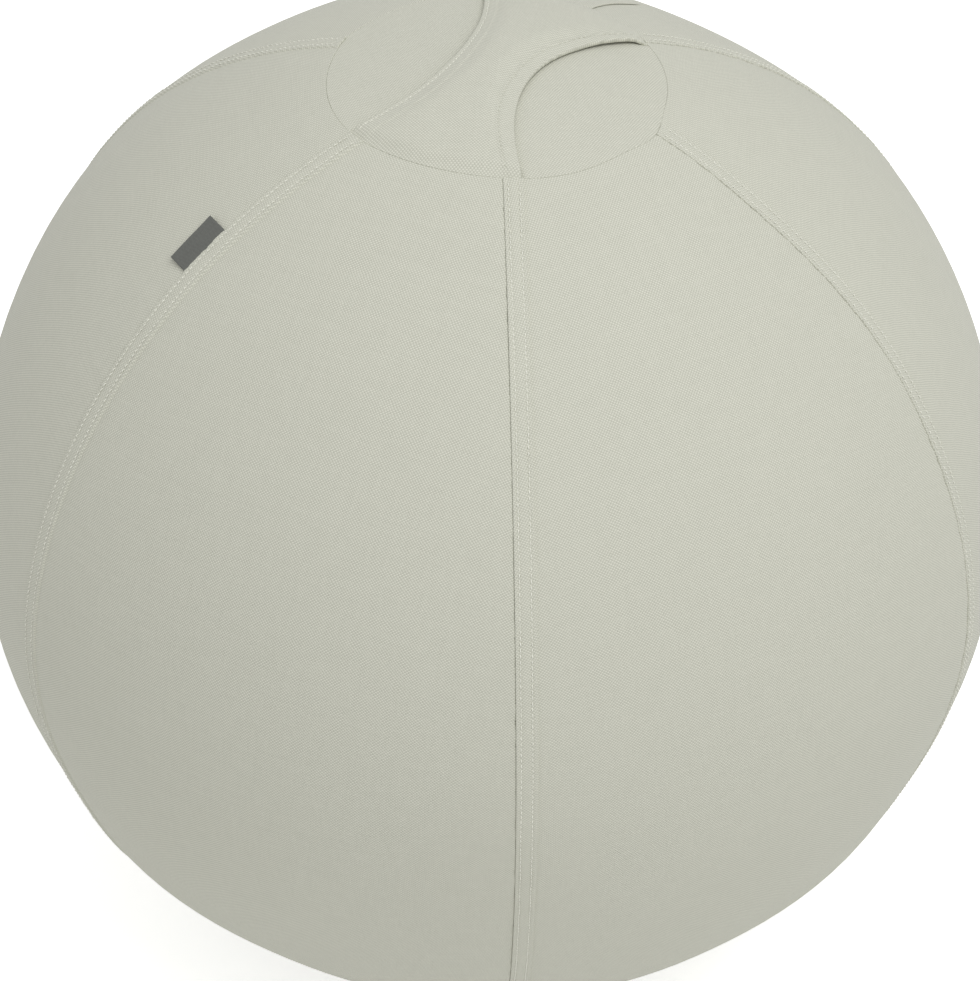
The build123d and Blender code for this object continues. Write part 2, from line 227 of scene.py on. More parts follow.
def rolled_edge(distance, fold=EDGE_ROUND):
    """How far a folded cloth edge drops within its round, from the distance to the edge."""
    inside = fold - np.minimum(distance, fold)
    return np.sqrt(np.maximum(fold**2 - inside**2, 0)) - fold


def ripple(shape_seed, count, shortest, longest):
    """A gentle random wave along a seam, made of a few sines; returns a function of the place."""
    own = np.random.default_rng(shape_seed)
    lengths = own.uniform(shortest, longest, count)
    phases = own.uniform(0, 2 * math.pi, count)
    parts = own.uniform(0.5, 1, count)
    parts = parts / parts.sum()

    def at(place):
        place = np.asarray(place, float)
        waves = np.sin(2 * math.pi * place[..., None] / lengths + phases)
        return (waves * parts).sum(-1)

    return at


def add_mesh(name, points, faces, weave=None):
    mesh = bpy.data.meshes.new(name)
    mesh.from_pydata(np.asarray(points, float).reshape(-1, 3).tolist(), [], faces)
    work = bmesh.new()
    work.from_mesh(mesh)
    bmesh.ops.recalc_face_normals(work, faces=work.faces)
    work.to_mesh(mesh)
    work.free()
    mesh.shade_smooth()
    if weave is not None:
        layer = mesh.attributes.new("weave", "FLOAT_VECTOR", "POINT")
        layer.data.foreach_set("vector", np.asarray(weave, np.float32).ravel())
    piece = bpy.data.objects.new(name, mesh)
    bpy.context.scene.collection.objects.link(piece)
    return piece


def grid_faces(number, flip=False, around=False):
    """Quads of a grid of vertex numbers; around joins the last column to the first."""
    if around:
        number = np.concatenate([number, number[:, :1]], axis=1)
    a, b = number[:-1, :-1], number[1:, :-1]
    c, d = number[1:, 1:], number[:-1, 1:]
    corners = (a, d, c, b) if flip else (a, b, c, d)
    return np.stack([k.ravel() for k in corners], axis=1).tolist()


def rod_faces(rings, sides, first=0):
    """Faces of a closed rod, made of rings of points that are numbered from first on."""
    number = first + np.arange(rings * sides).reshape(rings, sides)
    return grid_faces(number, around=True) + [number[0].tolist(), number[-1].tolist()]


def run_along(line):
    """How far each point of a line lies along it."""
    return np.concatenate([[0], np.cumsum(np.linalg.norm(np.diff(line, axis=0), axis=1))])


def shell(name, outer, inner, row_picks, column_picks, outer_weave, inner_weave, around=False, disc=False):
    """A closed cloth shell: a fine outer grid and a coarse inner one, joined along their borders.

    around closes the grids into rings, and disc fills the first ring's middle instead of joining it."""
    rows, columns = outer.shape[:2]
    out = np.arange(rows * columns).reshape(rows, columns)
    into = rows * columns + np.arange(len(row_picks) * len(column_picks))
    into = into.reshape(len(row_picks), len(column_picks))
    faces = grid_faces(out, around=around) + grid_faces(into, flip=True, around=around)
    last = len(row_picks) - 1
    for k, (low, high) in enumerate(zip(column_picks[:-1], column_picks[1:])):
        if not disc:
            faces.append([*out[0, low:high + 1], into[0, k + 1], into[0, k]])
        faces.append([*out[-1, low:high + 1][::-1], into[last, k], into[last, k + 1]])
    if around:
        low = column_picks[-1]
        if disc:
            faces.append([*out[0]])
            faces.append([*into[0]])
        else:
            faces.append([*out[0, low:], out[0, 0], into[0, 0], into[0, -1]])
        faces.append([out[-1, 0], *out[-1, low:][::-1], into[last, -1], into[last, 0]])
    else:
        for k, (low, high) in enumerate(zip(row_picks[:-1], row_picks[1:])):
            faces.append([*out[low:high + 1, 0][::-1], into[k, 0], into[k + 1, 0]])
            faces.append([*out[low:high + 1, -1], into[k + 1, -1], into[k, -1]])
    faces = [[int(v) for v in face] for face in faces]
    points = np.concatenate([outer.reshape(-1, 3), inner.reshape(-1, 3)])
    weave = np.concatenate([outer_weave.reshape(-1, 3), inner_weave.reshape(-1, 3)])
    return add_mesh(name, points, faces, weave)


def flat_weave(x, y, turn, part):
    """Metres of cloth for a piece that lies nearly level, with its warp turned by that many degrees."""
    c, s = math.cos(math.radians(turn)), math.sin(math.radians(turn))
    return np.stack([x * s - y * c, x * c + y * s, np.full_like(x, part)], axis=-1)


def level_disc(name, outer, inner, row_picks, column_picks, weave):
    """A round shell that lies nearly level."""
    weaves = [flat_weave(grid[..., 0], grid[..., 1], *weave) for grid in (outer, inner)]
    return shell(name, outer, inner, row_picks, column_picks, *weaves, around=True, disc=True)


def stitches(name, runs, radius_share=1.0):
    """Thread stitches, each a short capsule from one needle hole to the next.

    runs is a list of (start points, end points, normals): three arrays, one row for each stitch."""
    sides, rings = 6, 5
    own = np.random.default_rng(len(runs) + sum(len(run[0]) for run in runs))
    points, faces = [], []
    for starts, ends, normals in runs:
        for start, end, normal in zip(starts, ends, normals):
            along = end - start
            length = np.linalg.norm(along)
            along = along / length
            across = np.cross(normal, along)
            thick = THREAD_RADIUS * radius_share * own.uniform(0.8, 1.12)
            start = start + across * own.normal(0, 0.06 * MM)
            faces += rod_faces(rings, sides, len(points))
            for ring in range(rings):
                t = ring / (rings - 1)
                swell = math.sin(math.pi * (0.1 + 0.8 * t)) ** 0.6
                radius = thick * swell
                lift = thick * (2.0 * math.sin(math.pi * t) - 0.8)
                middle = start + along * length * t + normal * lift
                for side in range(sides):
                    turn = 2 * math.pi * side / sides
                    points.append(middle + radius * (across * math.cos(turn) + normal * math.sin(turn)))
    return add_mesh(name, points, faces)


# Materials, all from nodes
class Shader:
    """A node material, with short ways to add the nodes that the cloths share."""

    def __init__(self, name):
        self.material = bpy.data.materials.new(name)
        self.material.use_nodes = True
        self.tree = self.material.node_tree
        self.surface = self.tree.nodes["Principled BSDF"]

    def put(self, socket, value):
        if isinstance(value, bpy.types.NodeSocket):
            self.tree.links.new(value, socket)
        else:
            socket.default_value = value

    def add(self, kind, *values, **named):
        """A new node, with settings and inputs by name, and its first inputs in their order."""
        node = self.tree.nodes.new("ShaderNode" + kind)
        for name, value in named.items():
            if name in node.inputs:
                self.put(node.inputs[name], value)
            else:
                setattr(node, name, value)
        for socket, value in zip(node.inputs, values):
            self.put(socket, value)
        return node

    def math(self, operation, *values):
        return self.add("Math", *values, operation=operation).outputs[0]

    def noise(self, vector, scale, detail=2.0):
        return self.add("TexNoise", Vector=vector, Scale=scale, Detail=detail).outputs["Fac"]

    def combine(self, x, y, z):
        return self.add("CombineXYZ", x, y, z).outputs[0]

    def place(self):
        return self.add("TexCoord").outputs["Object"]

    def mix(self, share, first, second):
        node = self.add("Mix", share, data_type="RGBA")
        self.put(node.inputs[6], first)
        self.put(node.inputs[7], second)
        return node.outputs[2]

    def bump(self, height, distance, strength):
        node = self.add("Bump", Strength=strength, Distance=distance, Height=height)
        self.put(self.surface.inputs["Normal"], node.outputs[0])

    def coat(self, **values):
        """Sets inputs of the surface; an underscore in a name stands for a space."""
        for name, value in values.items():
            self.put(self.surface.inputs[name.replace("_", " ")], value)
        return self.material


def woven(name, light, dark, yarn, crossing_shade_strength, rows, bump=0.25):
    """A plain weave, one yarn over and one under, in metres of cloth from the weave attribute, with
    painted shade of the yarns in its colour.
    """
    s = Shader(name)
    cloth = s.add("Attribute", attribute_name="weave").outputs["Vector"]
    x, y, part = s.add("SeparateXYZ", cloth).outputs
    wander = s.math("SUBTRACT", s.noise(cloth, 90.0, 3.0), 0.5)
    u = s.math("ADD", s.math("DIVIDE", x, yarn), s.math("MULTIPLY", wander, 1.4))
    v = s.math("ADD", s.math("DIVIDE", y, yarn), s.math("MULTIPLY", wander, -1.4))
    wave_u = s.math("SINE", s.math("MULTIPLY", u, math.pi))
    wave_v = s.math("SINE", s.math("MULTIPLY", v, math.pi))
    over = s.math("MULTIPLY", wave_u, wave_v)
    round_u = s.math("ABSOLUTE", wave_u)
    round_v = s.math("ABSOLUTE", wave_v)
    warp = s.math("MULTIPLY", round_u, s.math("MULTIPLY_ADD", over, 0.5, 0.5))
    weft = s.math("MULTIPLY", round_v, s.math("MULTIPLY_ADD", over, -0.5, 0.5))
    height = s.math("ADD", warp, weft)
    # Each yarn is a little thicker or thinner along its length
    warp_place = s.combine(s.math("FLOOR", u), s.math("MULTIPLY", v, 0.05), part)
    weft_place = s.combine(s.math("MULTIPLY", u, 0.05), s.math("FLOOR", v), part)
    slub = s.math("ADD", s.noise(warp_place, 1.7), s.noise(weft_place, 1.3))
    slub = s.math("MULTIPLY_ADD", slub, 0.22, -0.22)
    patch = s.math("MULTIPLY_ADD", s.noise(cloth, 9.0), 0.06, -0.03)
    # Painted shade: the cloth is coloured lighter where the warp lies on top and darker where the weft
    # does, as light falls on the crossing yarns
    painted_crossing_shade = s.math("MULTIPLY", over, crossing_shade_strength)
    # Painted shade: each weft row is coloured darker towards its sides and in the gaps between rows, where
    # shade falls between the yarns
    painted_row_shade = s.math("MULTIPLY", s.math("SUBTRACT", round_v, 0.64), rows)
    # The mix adds each yarn's and each patch's own random tone to that painted shade
    share = s.math("ADD", s.math("ADD", painted_crossing_shade, painted_row_shade), s.math("ADD", slub, patch))
    share = s.add("Clamp", s.math("ADD", share, 0.5)).outputs[0]
    s.bump(height, yarn * 0.35, bump)
    return s.coat(
        Base_Color=s.mix(share, dark, light), Roughness=0.9, Specular_IOR_Level=0.2,
        Sheen_Weight=0.15, Sheen_Roughness=0.5,
    )


def satin(name, colour, spot, roughness, grain, metallic=0.0):
    """A moulded, cast or painted surface: a fine grain and a soft change of tone over it."""
    s = Shader(name)
    where = s.place()
    fine = s.noise(where, grain, 4.0)
    broad = s.noise(where, grain * 0.06)
    share = s.math("MULTIPLY_ADD", s.math("ADD", fine, broad), 0.9, -0.4)
    s.bump(fine, 0.00008, 0.3)
    return s.coat(
        Base_Color=s.mix(share, colour, spot), Metallic=metallic,
        Roughness=s.math("MULTIPLY_ADD", fine, 0.2, roughness - 0.1),
    )


def thread(name, light, dark):
    """Twisted sewing thread."""
    s = Shader(name)
    twist = s.noise(s.place(), 2600.0)
    s.bump(twist, 0.0001, 0.4)
    return s.coat(Base_Color=s.mix(twist, dark, light), Roughness=0.7)


cover_thread = thread("cover_thread", (0.90, 0.90, 0.82, 1), (0.74, 0.74, 0.66, 1))
hem_thread = thread("hem_thread", (0.69, 0.69, 0.60, 1), (0.54, 0.545, 0.465, 1))
base_thread = thread("base_thread", (0.30, 0.305, 0.28, 1), (0.20, 0.205, 0.185, 1))
# Each cloth: light and dark colours, yarn pitch, the strength of the painted shade at the crossings and
# between yarn rows, and for some the bump
cloths = {
    "cover_cloth": ((0.72, 0.72, 0.625, 1), (0.47, 0.475, 0.402, 1), YARN, 0.5, 0.36, 0.35),
    "base_cloth": ((0.19, 0.195, 0.175, 1), (0.11, 0.115, 0.10, 1), 0.8 * MM, 0.45, 0.3),
    "tab_weave": ((0.19, 0.196, 0.18, 1), (0.085, 0.088, 0.08, 1), 0.62 * MM, 0.35, 0.75),
    "zip_tape": ((0.33, 0.335, 0.30, 1), (0.20, 0.205, 0.18, 1), 0.6 * MM, 0.45, 0.4),
}
finishes = {
    "bladder_vinyl": ((0.22, 0.225, 0.22, 1), (0.27, 0.275, 0.27, 1), 0.45, 400.0),
    "valve_vinyl": ((0.70, 0.70, 0.66, 1), (0.62, 0.62, 0.58, 1), 0.4, 500.0),
    "zip_plastic": ((0.33, 0.335, 0.30, 1), (0.28, 0.285, 0.25, 1), 0.4, 900.0),
    "zip_metal": ((0.10, 0.105, 0.10, 1), (0.13, 0.135, 0.125, 1), 0.35, 1500.0, 0.8),
    "sand": ((0.48, 0.37, 0.22, 1), (0.56, 0.45, 0.29, 1), 0.9, 1200.0),
}
slots = {name: woven(name, *look) for name, look in cloths.items()}
slots.update({name: satin(name, *look) for name, look in finishes.items()})


def dress(piece, slot_name, material=None):
    """Gives a piece its material: the one given, or else the one from its slot."""
    piece.data.materials.clear()
    piece.data.materials.append(material or slots[slot_name])
    return piece


def set_in(piece, slot_name, *nodes, body="ball", material=None):
    """Dresses a piece, lets it ride its body and hides the CAD nodes that it stands for."""
    dress(piece, slot_name, material)
    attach(piece, body)
    if nodes:
        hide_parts(*nodes)
    return piece


for part in frame["record"]["subparts"]:
    dress(frame["nodes"][part["node"]], part["material_slot"])


# The cover's six panels
def seam_sway(seam, polar):
    """How far a seam strays sideways as sewn, as an angle round the ball; seam 0 is the front one."""
    p = np.degrees(polar)
    if seam == 0:
        stray = -0.25 + 0.011 * (p - 18)
    elif seam == 1:
        stray = 0.4 * bell(p, 51, 9) - 0.75 * bell(p, 30, 9) - 0.8 * smooth_step(76, 104, p)
    elif seam == 5:
        stray = -0.5 * smooth_step(18, 40, p)
    elif seam == 2:
        stray = -(4.6 + 2.9 * smooth_step(36, 58, p)) * (1 - smooth_step(66, 115, p))
    else:
        stray = 0.3 * np.sin(p / 25 + seam)
    return np.radians(stray)


def panel_middle(part):
    """The direction from the axis of a panel's middle."""
    return math.radians(FRONT_SEAM) + HALF_PANEL * (2 * part + 1)


def panel_turn(part, psi, polar):
    """The direction from the axis of a place on a panel, with both its seams as they stray."""
    share = 0.5 + psi / (2 * HALF_PANEL)
    sway = (1 - share) * seam_sway(part, polar) + share * seam_sway((part + 1) % PANELS, polar)
    return psi + panel_middle(part) + sway


def slack(turn, polar):
    """How far the cover lies in behind the handle's back end, where it is least tight."""
    beside = bell(degrees_off(turn, SLACK_DIRECTION), 0, SLACK_WIDTH)
    return SLACK * beside * bell(np.degrees(polar), SLACK_POLAR, SLACK_LENGTH)


def low_fill(turn, polar):
    """How the panels fill out below the ball's middle: their flatness there, and how far they lie out."""
    p = np.degrees(polar)
    flatness = PANEL_FLATNESS - LOW_ROUNDING * smooth_step(84, 108, p) * (1 - smooth_step(134, 154, p))
    bulge = LOW_BULGE * smooth_step(110, 125, p) * (1 - smooth_step(126, 138, p))
    return flatness, bulge * smooth_step(28, 60, np.abs(degrees_off(turn, FRONT_SEAM)))


def panel_reach(crown, flatness, a):
    """How far a panel's outside is from the ball's centre; a is the sine of the way off its middle."""
    return np.sqrt(crown**2 - (flatness * a) ** 2) - flatness * np.sqrt(1 - a * a)


def cover_points(part, psi, polar, rise):
    """Points of a panel, from the azimuth off its middle and the angle from the top."""
    turn = panel_turn(part, psi, polar)
    flatness, bulge = low_fill(turn, polar)
    crown = BALL_RADIUS + flatness + bulge + rise - slack(turn, polar)
    reach = panel_reach(crown, flatness, np.sin(polar) * np.sin(psi))
    return around_axis(reach * np.sin(polar), turn, CENTRE.z + reach * np.cos(polar))


def rim_radius(turn):
    """The top seam's distance from the axis: the handle pulls it in, and two panel seams push it out."""
    off_handle = np.clip(degrees_off(turn, RIM_PULL_DIRECTION) / RIM_PULL_WIDTH, -1, 1)
    push = sum(most * bell(degrees_off(turn, at), 0, RIM_PUSH_WIDTH) for most, at in RIM_PUSHES)
    return TOP_RADIUS + push - RIM_PULL * np.cos(off_handle * math.pi / 2) ** 2


def polar_at(psi, radius, lower):
    """The angle from the top at which a panel's outside has that distance from the upright axis."""
    polar = np.arcsin(radius / BALL_RADIUS) + 0 * psi
    for _ in range(8):
        polar = np.arcsin(radius / panel_reach(CROWN, PANEL_FLATNESS, np.sin(polar) * np.sin(psi)))
    return math.pi - polar if lower else polar


def cover_weave(psi, polar, part):
    """Metres of cloth: across the panel, and along its middle."""
    a = np.sin(polar) * np.sin(psi)
    across = CROWN * np.arcsin(a * BALL_RADIUS / CROWN)
    along = BALL_RADIUS * np.arctan2(np.sin(polar) * np.cos(psi), np.cos(polar))
    return np.stack([across, along, np.full_like(across, part)], axis=-1)


seam_reach = panel_reach(CROWN, PANEL_FLATNESS, math.sin(HALF_PANEL))
edge_psi = np.array([HALF_PANEL])
top_edge = polar_at(edge_psi, TOP_RADIUS, False)[0]
base_edge = polar_at(edge_psi, BASE_OPENING, True)[0]
SEAM_STITCHES = 2 * round((base_edge - top_edge) * seam_reach / STITCH_PITCH / 2)
SEAM_LENGTH = SEAM_STITCHES * STITCH_PITCH
near_edge = graded_mm((0, 1.2, 0.2), (1.2, 2.8, 0.8))
row_places = np.concatenate([
    near_edge,
    np.arange(2, 2 * SEAM_STITCHES - 1) * STITCH_PITCH / 2,
    SEAM_LENGTH - near_edge[::-1],
])
lap_columns = graded_mm(
    (0, 1.2, 0.2), (1.2, 1.9, 0.35), (1.9, 3.7, 0.36), (3.7, 8.4, 0.95),
    (8.4, 10.2, 0.36), (10.2, 11.2, 0.5), (11.2, 13.0, 0.3), (13.0, 24, 1.6),
)
plain_columns = graded_mm((0, 1.2, 0.2), (1.2, 12, 1.8))
CREASED_PANEL = 2
# The crease's line as angles from the top and directions, in degrees; it is a small pleat: across it
# in mm, how far the cloth is moved back, and its height
CREASE_POLAR = [16.3, 18.0, 19.8, 21.6, 23.5, 25.2, 27.1, 33.0]
CREASE_DIRECTION = [53.2, 53.8, 54.2, 54.3, 54.2, 54.0, 53.8, 53.2]
PLEAT_FROM = [-30, -1.0, 0.0, 1.2, 2.0, 3.4, 4.4, 7.0, 15.0, 40]
PLEAT_SHIFT = [0, 0, 0.2, 0.2, -0.4, -3.9, -4.6, -3.5, 0, 0]
PLEAT_RISE = [0, 0, -0.2, -0.8, -0.9, 0.4, 1.0, 1.2, 0, 0]


def panel_psi(polar, middle_columns):
    """Azimuths off the panel's middle for places across it, from the edge that carries the lap."""
    girth = BALL_RADIUS * np.sin(polar)
    width = 2 * HALF_PANEL * girth
    lap = np.broadcast_to(lap_columns, (len(polar), len(lap_columns)))
    plain = width[:, None] - plain_columns[::-1]
    t = np.arange(1, middle_columns) / middle_columns
    middle = lap[:, -1:] + (plain[:, :1] - lap[:, -1:]) * t
    place = np.concatenate([lap, middle, plain], axis=1)
    return place, width[:, None] - place, place / girth[:, None] - HALF_PANEL


def panel_rise(lap_distance, plain_distance, along, part):
    """The cloth's height over the panel's plain round: lap, stitch grooves, puckers, folded edges."""
    rise = LAP_RISES[part] * (1 - smooth_step(LAP_WIDTH - 0.5 * MM, LAP_WIDTH + 0.4 * MM, lap_distance))
    rise = rise - 0.2 * MM * bell(lap_distance, LAP_WIDTH + 0.7 * MM, 0.6 * MM)
    hole = 0.5 + 0.5 * np.cos(2 * math.pi * along / STITCH_PITCH)
    for row in STITCH_ROWS:
        rise = rise - stitch_groove(lap_distance - row) * (GROOVE_DEPTH + HOLE_DEPTH * hole)
    lap_ripple = ripple(100 + part, 9, 11 * MM, 34 * MM)
    plain_ripple = ripple(101 + part, 9, 11 * MM, 34 * MM)
    rise = rise + SEAM_RIPPLE * lap_ripple(along) * np.exp(-lap_distance / (13 * MM))
    rise = rise + SEAM_RIPPLE * plain_ripple(along) * np.exp(-plain_distance / (11 * MM))
    broad = ripple(300 + part, 5, 90 * MM, 260 * MM)
    rise = rise + BROAD_RIPPLE * broad(along + 0.6 * lap_distance)
    # Hidden seam thread pulls both edges in at every stitch
    tug = 0.5 + 0.5 * np.cos(2 * math.pi * along / TUG_PITCH + part)
    knots = ripple(500 + part, 7, 6 * MM, 21 * MM)(along)
    pull = THREAD_TUG * tug + KNOT_TUG * knots
    return rise - pull * np.exp(-np.minimum(lap_distance, plain_distance) / (0.9 * MM))


for part in range(PANELS):
    rough_polar = top_edge + row_places / SEAM_LENGTH * (base_edge - top_edge)
    grids = panel_psi(rough_polar, 120 if part == CREASED_PANEL else 20)
    # The folded edge goes down beside the seams, so each grid has its border twice
    lap_distance, plain_distance, psi = (np.pad(grid, 1, mode="edge") for grid in grids)
    along = np.pad(row_places, 1, mode="edge")[:, None]
    start = polar_at(psi, rim_radius(psi + panel_middle(part)), False)
    end = polar_at(psi, BASE_OPENING, True)
    polar = start + along / SEAM_LENGTH * (end - start)
    rise = panel_rise(lap_distance, plain_distance, along, part)
    if part == CREASED_PANEL:
        crease_turn = np.radians(np.interp(np.degrees(polar), CREASE_POLAR, CREASE_DIRECTION))
        off_crease = (panel_turn(part, psi, polar) - crease_turn) * BALL_RADIUS * np.sin(polar)
        fades = smooth_step(0, 1.2 * MM, along) * (1 - smooth_step(26, 33, np.degrees(polar)))
        pleat = np.interp(off_crease / MM, PLEAT_FROM, PLEAT_SHIFT) * MM * fades
        rise = rise + np.interp(off_crease / MM, PLEAT_FROM, PLEAT_RISE) * MM * fades
        psi = psi + pleat / (BALL_RADIUS * np.sin(polar))
    to_seam, to_end = np.minimum(lap_distance, plain_distance), np.minimum(along, SEAM_LENGTH - along)
    to_edge = np.minimum(to_seam, to_end)
    beside = np.minimum(
        rolled_edge(lap_distance, SEAM_ROUNDS[part]),
        rolled_edge(plain_distance, SEAM_ROUNDS[(part + 1) % PANELS]),
    )
    ends = np.minimum(rolled_edge(along, RIM_ROUND), rolled_edge(SEAM_LENGTH - along))
    rise = rise + np.minimum(beside, ends)
    rise[0], rise[-1] = -EDGE_DEPTH, -EDGE_DEPTH
    rise[:, 0], rise[:, -1] = -EDGE_DEPTH, -EDGE_DEPTH
    outer = cover_points(part, psi, polar, rise)
    outer_weave = cover_weave(psi, polar, part)
    row_picks, column_picks = every(len(psi), 6), every(psi.shape[1], 4)
    pick = np.ix_(row_picks, column_picks)
    turned_in = TURNED_IN / BALL_RADIUS
    inner_polar = np.clip(polar[pick], start[pick] + turned_in, end[pick] - turned_in)
    side = HALF_PANEL - TURNED_IN / (BALL_RADIUS * np.sin(inner_polar))
    inner_psi = np.clip(psi[pick], -side, side)
    inner = cover_points(part, inner_psi, inner_polar, -inner_depth(to_edge[pick]))
    piece = shell(
        f"cloth_panel_{part + 1}", outer, inner, row_picks, column_picks,
        outer_weave, cover_weave(inner_psi, inner_polar, part),
    )
    set_in(piece, "cover_cloth", f"cover_panel_{part + 1}")

    # Two rows of stitches hold the lap down
    runs = []
    holes = np.arange(1, SEAM_STITCHES - 1) * STITCH_PITCH
    first = polar_at(-HALF_PANEL, rim_radius(panel_middle(part) - HALF_PANEL), False)
    for row in STITCH_ROWS:
        ends = []
        for shift in STITCH_ENDS:
            row_polar = first + (holes + shift) / SEAM_LENGTH * (base_edge - first)
            thread_psi = row / (BALL_RADIUS * np.sin(row_polar)) - HALF_PANEL
            ends.append(cover_points(part, thread_psi, row_polar, LAP_RISES[part] - GROOVE_DEPTH))
        runs.append((*ends, unit((ends[0] + ends[1]) / 2 - np.array(CENTRE))))
    # and one row goes along the base opening
    count = round(2 * HALF_PANEL * BASE_OPENING / STITCH_PITCH)
    ends = []
    for shift in STITCH_ENDS:
        thread_psi = ((np.arange(count) + shift / STITCH_PITCH) / count * 2 - 1) * HALF_PANEL
        row_polar = polar_at(thread_psi, BASE_OPENING, True) - BASE_ROW / BALL_RADIUS
        lap_here = (thread_psi + HALF_PANEL) * BASE_OPENING < LAP_WIDTH
        ends.append(cover_points(part, thread_psi, row_polar, np.where(lap_here, LAP_RISES[part], 0.0)))
    runs.append((*ends, unit(ends[0] - np.array(CENTRE))))
    threads = stitches(f"cloth_panel_{part + 1}_stitches", runs)
    set_in(threads, "cover_cloth", material=cover_thread)

# The handle's long edges, as distances off its own line
axis_turn = math.radians(HANDLE_ANGLE)
axis_x = np.array([math.cos(axis_turn), math.sin(axis_turn)])
axis_y = np.array([-math.sin(axis_turn), math.cos(axis_turn)])


def bowed(x, waist, middle, front_round, back_round):
    """Half the handle's width on one side: narrow at its waist and wider to both ends."""
    off = x - middle
    return waist + off**2 / (2 * np.where(off < 0, front_round, back_round))


def right_edge(x):
    return -bowed(x, *RIGHT_BOW)


def left_edge(x):
    return bowed(x, *LEFT_BOW)


def right_hem_row(x):
    """How far the right hem's stitches are from its edge: more towards the front."""
    return RIGHT_HEM_ROW + RIGHT_HEM_FLARE * (1 - smooth_step(-60 * MM, 10 * MM, x))


def left_hem_row(x):
    """The same for the left hem, which is even."""
    return np.full_like(x, LEFT_HEM_ROW)


def under_handle(x, y):
    """How far the handle's end holds the top panel down: 1 at the front, less at the back, 0 beside it."""
    along = x * axis_x[0] + y * axis_x[1]
    across = x * axis_y[0] + y * axis_y[1]
    inside = np.minimum(across - right_edge(along), left_edge(along) - across)
    return smooth_step(-3 * MM, 1 * MM, inside) * np.where(along < 0, 1.0, 0.45)


# The round top panel
RIM_HEIGHT = CENTRE.z + math.sqrt(BALL_RADIUS**2 - TOP_RADIUS**2)
ball_sag = BALL_RADIUS - math.sqrt(BALL_RADIUS**2 - TOP_RADIUS**2)
TOP_SAG = ball_sag - TOP_FLATTENING
TOP_ROUND = (TOP_RADIUS**2 + TOP_SAG**2) / (2 * TOP_SAG)
TOP_CENTRE = RIM_HEIGHT + TOP_SAG - TOP_ROUND
TOP_EDGE = TOP_RADIUS - SEWING_GAP
TOP_STITCHES = round(2 * math.pi * TOP_EDGE / STITCH_PITCH)
angles = np.arange(2 * TOP_STITCHES) * math.pi / TOP_STITCHES
ring_depth = graded_mm((0, 1.2, 0.2), (1.2, 13, 1.2), (13, 98.5, 4.5))
radii = TOP_EDGE - np.concatenate([[0.0], ring_depth])[::-1]


def top_points(r, turn, rise):
    """Points of the top panel; r is a distance from the axis on a panel with a round rim."""
    edge = rim_radius(turn) - SEWING_GAP
    r_here = r * (1 + (edge / TOP_EDGE - 1) * (r / TOP_EDGE) ** 2)
    rim_lift = (TOP_EDGE - edge) * math.tan(math.asin(TOP_RADIUS / BALL_RADIUS))
    z = TOP_CENTRE + np.sqrt(TOP_ROUND**2 - r**2) + rim_lift * (r / TOP_EDGE) ** 2 + rise
    return around_axis(r_here, turn, z)


ring, turn = np.meshgrid(radii, angles, indexing="ij")
rim_ripple = ripple(41, 8, 12 * MM, 40 * MM)
to_rim = TOP_EDGE - ring
pucker = RIM_PUCKER * rim_ripple(turn * TOP_EDGE) * np.exp(-to_rim / (12 * MM)) * np.sin(turn / 2) ** 2
covered = under_handle(ring * np.cos(turn), ring * np.sin(turn))
# Under the handle's ends the top seam holds the panel down
held_down = -HELD_DOWN * (1 - smooth_step(0, END_DIP_LENGTH + 2 * MM, to_rim)) * covered
rise = rolled_edge(to_rim, RIM_ROUND) + pucker + held_down
rise[-1] = held_down[-1] - EDGE_DEPTH
outer = top_points(ring, turn, rise)
row_picks, column_picks = every(len(radii), 5), np.arange(0, len(angles), 4)
pick = np.ix_(row_picks, column_picks)
inner_ring = np.minimum(ring[pick], TOP_EDGE - TURNED_IN)
inner = top_points(inner_ring, turn[pick], held_down[pick] - inner_depth(to_rim[pick]))
top_piece = level_disc("cloth_top", outer, inner, row_picks, column_picks, TOP_WEAVE)
set_in(top_piece, "cover_cloth", "top_panel")

# The handle, from front left to back right over the top panel
HANDLE_RISE = TOP_SAG + HANDLE_GAP
HANDLE_ROUND = (TOP_EDGE**2 + HANDLE_RISE**2) / (2 * HANDLE_RISE)
HANDLE_CENTRE = RIM_HEIGHT + SEWING_GAP + HANDLE_RISE - HANDLE_ROUND
HANDLE_ROWS, HANDLE_COLUMNS = 84, 14
hem_places = graded_mm((0, 1.2, 0.2), (1.2, 14, 0.64))
end_places = graded_mm((0, 1.2, 0.2), (1.2, 12, 0.9)) / TOP_EDGE
middle_rows = np.linspace(-1 + end_places[-1], 1 - end_places[-1], HANDLE_ROWS)[1:-1]
handle_rows = np.concatenate([end_places - 1, middle_rows, 1 - end_places[::-1]])


def handle_grid():
    """Places on the handle, along and across it; its ends follow the top seam."""
    t = handle_rows[:, None]
    near = len(hem_places)
    across = np.arange(1, HANDLE_COLUMNS) / HANDLE_COLUMNS
    x = np.broadcast_to(t * TOP_EDGE, (len(t), 2 * near + len(across))).copy()
    for _ in range(24):
        low = right_edge(x[:, :near]) + hem_places
        high = left_edge(x[:, -near:]) - hem_places[::-1]
        middle = low[:, -1:] + (high[:, :1] - low[:, -1:]) * across
        y = np.concatenate([low, middle, high], axis=1)
        end = rim_radius(np.arctan2(y, x) + axis_turn) - SEWING_GAP
        x = t * np.sqrt(end**2 - y * y)
    return x, y


